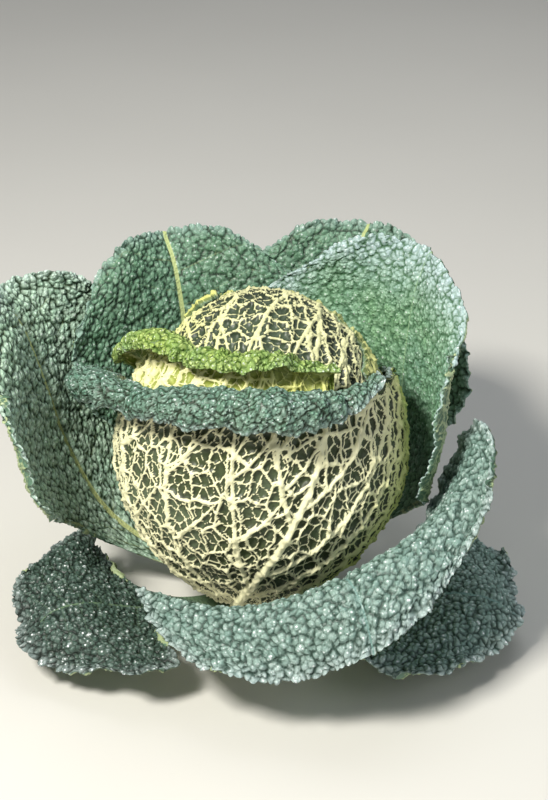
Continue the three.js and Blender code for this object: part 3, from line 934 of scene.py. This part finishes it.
def make_heart(covers):
    angles = np.linspace(0, math.pi, HEART_RINGS + 2)[1:-1]
    around = np.arange(HEART_SIDES) * 2 * math.pi / HEART_SIDES
    from_down, azimuth = np.meshgrid(angles, around, indexing="ij")
    direction = head_direction(azimuth, from_down)
    ends = np.array([[0, 0, -1], [0, 0, 1]])
    direction = np.concatenate([direction.reshape(-1, 3), ends])
    from_down = np.arccos(np.clip(-direction[:, 2], -1, 1))
    ball = CENTRE + direction * heart_reach(from_down)[:, None]
    large_border = cells(ball, 9, 71)[0]
    small_border, tone = cells(ball, 4, 72)
    bare = bare_share(direction, covers)
    swell = (dome(large_border, 1.6) + dome(small_border, 0.8)) / 2
    vein = np.maximum(ridge(large_border, 1.4), 0.7 * ridge(small_border, 1.1))
    points = ball + direction * (bare * (0.8 * vein - 1.6 * swell))[:, None]
    points[:, 2] = np.maximum(points[:, 2], STEM_TOP + STEM_GAP)
    none = np.zeros(len(points))
    values = dict(vein=vein, swell=swell, tone=tone, edge=none, face=none, right_side_share=none)
    count = HEART_RINGS * HEART_SIDES
    faces = ring_faces(HEART_RINGS, HEART_SIDES, count, count + 1)
    piece = make_piece("heart_fine", points, faces, values, leaf_material("heart", LOOKS["crown_leaf"]))
    stand_for(piece, "heart")


def stem_material():
    """Pale fibrous stalk, with a darker ring of strands in its cut."""
    s = Shader("stem")
    ring = s.attribute("ring")
    strands = s.noise(260, 4)
    patches = s.noise(60)
    pith = s.mix(s.range(patches, 0.3, 0.7), colour("dfe0b4"), colour("c9cd92"))
    wood = s.mix(s.range(strands, 0.35, 0.7), colour("b9b77c"), colour("8f8e58"))
    s.put(s.bsdf.inputs["Base Color"], s.mix(ring, pith, wood))
    s.put(s.bsdf.inputs["Roughness"], s.range(strands, 0.3, 0.7, 0.5, 0.75))
    s.put(s.bsdf.inputs["Normal"], s.bump(strands, 0.4, 0.0006))
    return s.material


def make_stem():
    """The stalk: a flat cut with a rounded lip, and a ridged side."""
    cut = [(radius, 0.0) for radius in np.linspace(1.2, STEM_CUT_RADIUS - STEM_CHAMFER, 15)]
    turns = np.linspace(0, math.pi / 2, 6)[1:]
    lip = [
        (STEM_CUT_RADIUS - STEM_CHAMFER * (1 - math.sin(a)), STEM_CHAMFER * (1 - math.cos(a)))
        for a in turns
    ]
    heights = np.linspace(STEM_CHAMFER, STEM_TOP, 24)[1:]
    wall = [(lerp(STEM_CUT_RADIUS, STEM_TOP_RADIUS, z / STEM_TOP), z) for z in heights]
    top = [(radius, STEM_TOP) for radius in np.linspace(STEM_TOP_RADIUS, 1.2, 10)[1:]]
    profile = np.array(cut + lip + wall + top)
    azimuth = np.arange(STEM_SIDES) * 2 * math.pi / STEM_SIDES
    radius = profile[:, :1]
    height = np.broadcast_to(profile[:, 1:], (len(profile), STEM_SIDES))
    on_wall = smooth(height, 1, 3) * (1 - smooth(height, 25, 27)) * smooth(radius, 18, 20)
    ridges = noise(azimuth[None] * 64 / (2 * math.pi) * 0.5, height / 9, 81)
    radius = radius - on_wall * (0.5 + 0.5 * ridges)
    points = stack(radius * np.sin(azimuth), -radius * np.cos(azimuth), height).reshape(-1, 3)
    ends = np.array([[0, 0, 0], [0, 0, STEM_TOP]])
    points = np.concatenate([points, ends])
    from_axis = np.linalg.norm(points[:, :2], axis=1)
    ring = smooth(from_axis, 13.5, 15) * (1 - smooth(from_axis, 17, 18.5)) + smooth(from_axis, 19.8, 20.6)
    count = len(profile) * STEM_SIDES
    faces = ring_faces(len(profile), STEM_SIDES, count, count + 1)
    piece = make_piece("stem_fine", points, faces, dict(ring=ring), stem_material())
    stand_for(piece, "stem")


# The stage: floor, light and camera

PHOTO_SIZE = (548, 800)
HEAD_CENTRE_PIXEL = (262, 455)
PIXEL = 0.655 * MM  # at the head's distance
ELEVATION = 30
DISTANCE = 1.1
SENSOR = 36
FLOOR_REACH = 6


def make_floor():
    mesh = bpy.data.meshes.new("floor")
    far = FLOOR_REACH
    corners = [(-far, -far, 0), (far, -far, 0), (far, far, 0), (-far, far, 0)]
    mesh.from_pydata(corners, [], [(0, 1, 2, 3)])
    s = Shader("floor")
    s.put(s.bsdf.inputs["Base Color"], s.mix(s.noise(3), colour("d9d7d1"), colour("d2d0ca")))
    s.bsdf.inputs["Roughness"].default_value = 0.8
    mesh.materials.append(s.material)
    floor = bpy.data.objects.new("floor", mesh)
    bpy.context.scene.collection.objects.link(floor)


def make_light(name, azimuth, elevation, distance, size, power, tint):
    light = bpy.data.lights.new(name, "AREA")
    light.size = size
    light.energy = power
    light.color = tint
    lamp = bpy.data.objects.new(name, light)
    away = Vector(head_direction(math.radians(azimuth), math.radians(90 + elevation)))
    lamp.location = Vector(CENTRE * MM) + away * distance
    lamp.rotation_euler = away.to_track_quat("Z", "Y").to_euler()
    bpy.context.scene.collection.objects.link(lamp)


def make_camera():
    slope = math.radians(ELEVATION)
    right = Vector((1, 0, 0))
    up = Vector((0, math.sin(slope), math.cos(slope)))
    back = Vector((0, -math.cos(slope), math.sin(slope)))
    aside = PHOTO_SIZE[0] / 2 - HEAD_CENTRE_PIXEL[0]
    above = HEAD_CENTRE_PIXEL[1] - PHOTO_SIZE[1] / 2
    target = Vector(CENTRE * MM) + (right * aside + up * above) * PIXEL
    data = bpy.data.cameras.new("camera")
    data.sensor_width = SENSOR
    data.lens = SENSOR * DISTANCE / (PHOTO_SIZE[1] * PIXEL)
    camera = bpy.data.objects.new("camera", data)
    camera.location = target + back * DISTANCE
    camera.rotation_euler = back.to_track_quat("Z", "Y").to_euler()
    bpy.context.scene.collection.objects.link(camera)
    bpy.context.scene.camera = camera


def make_stage():
    make_floor()
    make_light("key", -40, 52, 1.7, 0.34, 40, (1, 0.97, 0.9))
    make_light("fill", 60, 30, 2, 1.4, 9, (0.9, 0.95, 1))
    make_light("top", 150, 70, 1.8, 1.2, 8, (0.95, 0.98, 1))
    world = bpy.data.worlds.new("studio")
    world.use_nodes = True
    world.node_tree.nodes["Background"].inputs["Color"].default_value = (0.8, 0.86, 0.95, 1)
    world.node_tree.nodes["Background"].inputs["Strength"].default_value = 0.16
    bpy.context.scene.world = world
    bpy.context.scene.view_settings.view_transform = "Standard"


make_stage()
make_camera()
make_stem()
layers = []
for leaf_name in HEAD_LEAVES:
    make_head_leaf(leaf_name, layers)
make_heart(layers)
for leaf_name in OUTER_LEAVES:
    make_outer_leaf(leaf_name)
